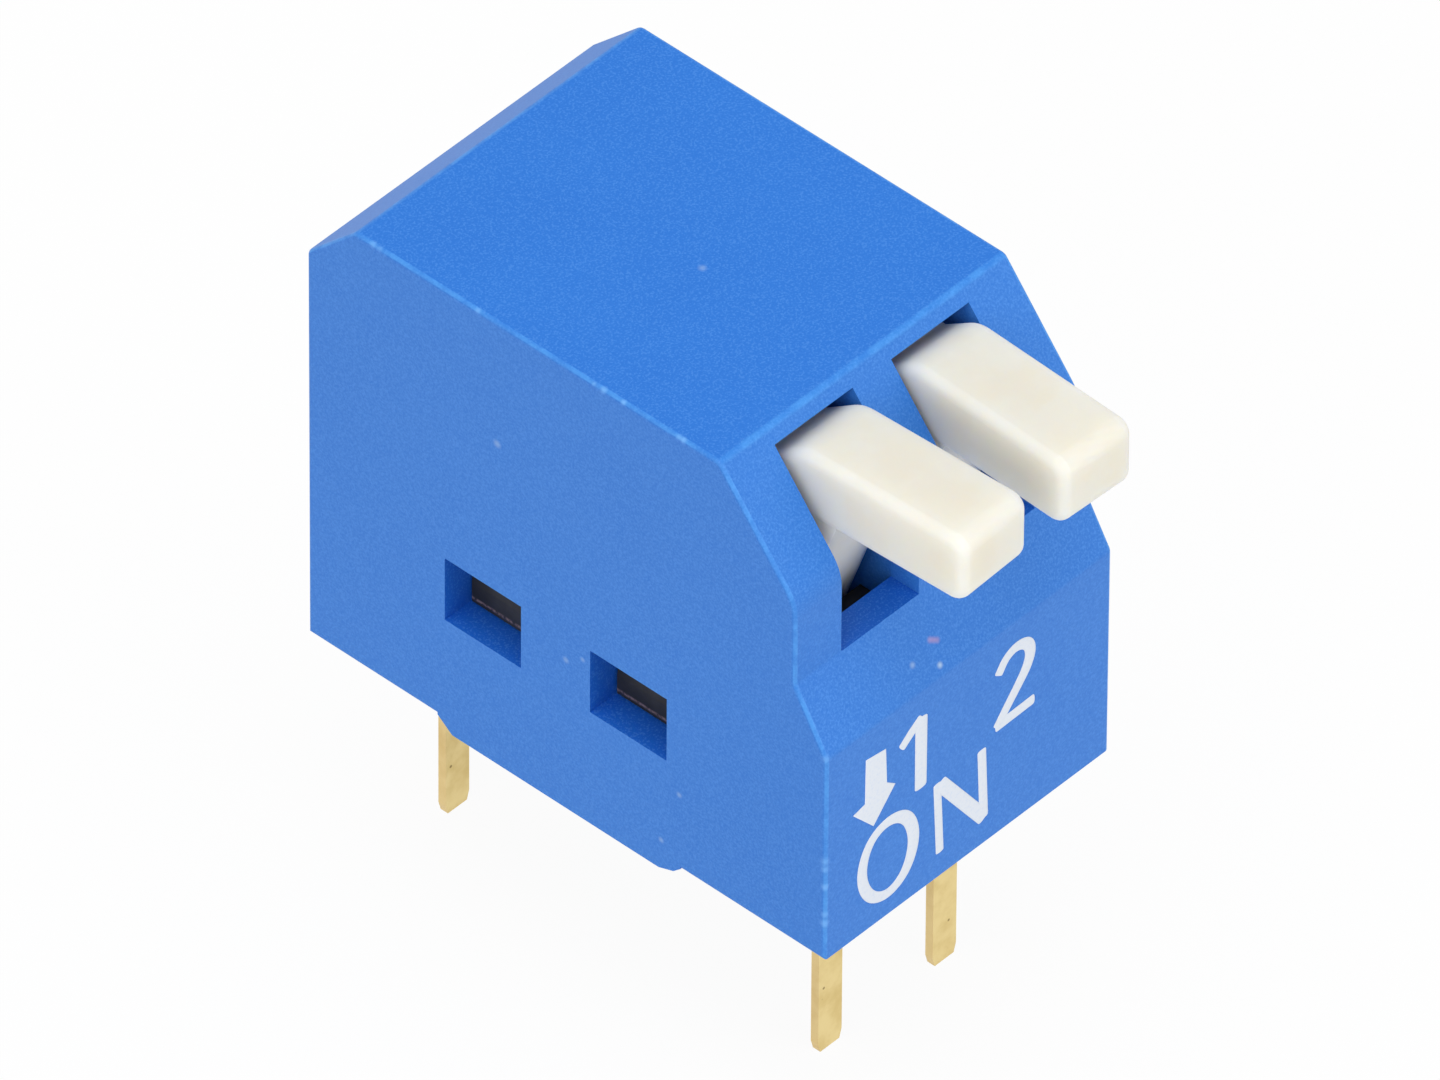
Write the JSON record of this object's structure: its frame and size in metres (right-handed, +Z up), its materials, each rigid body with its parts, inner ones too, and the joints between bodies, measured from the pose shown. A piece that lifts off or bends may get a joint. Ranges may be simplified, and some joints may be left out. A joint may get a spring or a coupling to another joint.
{
  "type": "dip switch",
  "caption": "Side-worked switch for a circuit board: a blue block with cream levers that rock down from slots in its front, and flat pins below in two rows.",
  "frame": {"origin": "centre of the pin grid, at the height where the feet of the housing meet the board", "axes": "+Z up from the board, -Y forward to the levers, X along the row of positions"},
  "size_m": [0.0062, 0.012, 0.0127],
  "materials": {
    "blue_housing": "satin moulded",
    "black_base": "matte moulded",
    "cream_lever": "satin moulded",
    "gold_terminal": "matte plated",
    "gold_contact": "polished plated",
    "spring_steel": "drawn wire"
  },
  "bodies": {
    "housing": {"housing": "blue_housing", "terminal_base": "black_base", "front_terminal_1": "gold_terminal", "front_terminal_2": "gold_terminal", "rear_terminal_1": "gold_terminal", "rear_terminal_2": "gold_terminal"},
    "lever_1": {"lever_1": "cream_lever", "contact_ball_1": "gold_contact", "detent_spring_1": "spring_steel"},
    "lever_2": {"lever_2": "cream_lever", "contact_ball_2": "gold_contact", "detent_spring_2": "spring_steel"}
  },
  "joints": [
    {"name": "lever_1_rock", "type": "hinge", "parent": "housing", "child": "lever_1", "pos_m": [-0.00134, -0.0012, 0.0079], "axis": [0.9993, 0.0384, 0], "range_deg": [0, 26]},
    {"name": "lever_2_rock", "type": "hinge", "parent": "housing", "child": "lever_2", "pos_m": [0.00134, -0.0012, 0.0079], "axis": [0.9993, -0.0384, 0], "range_deg": [0, 26]}
  ]
}
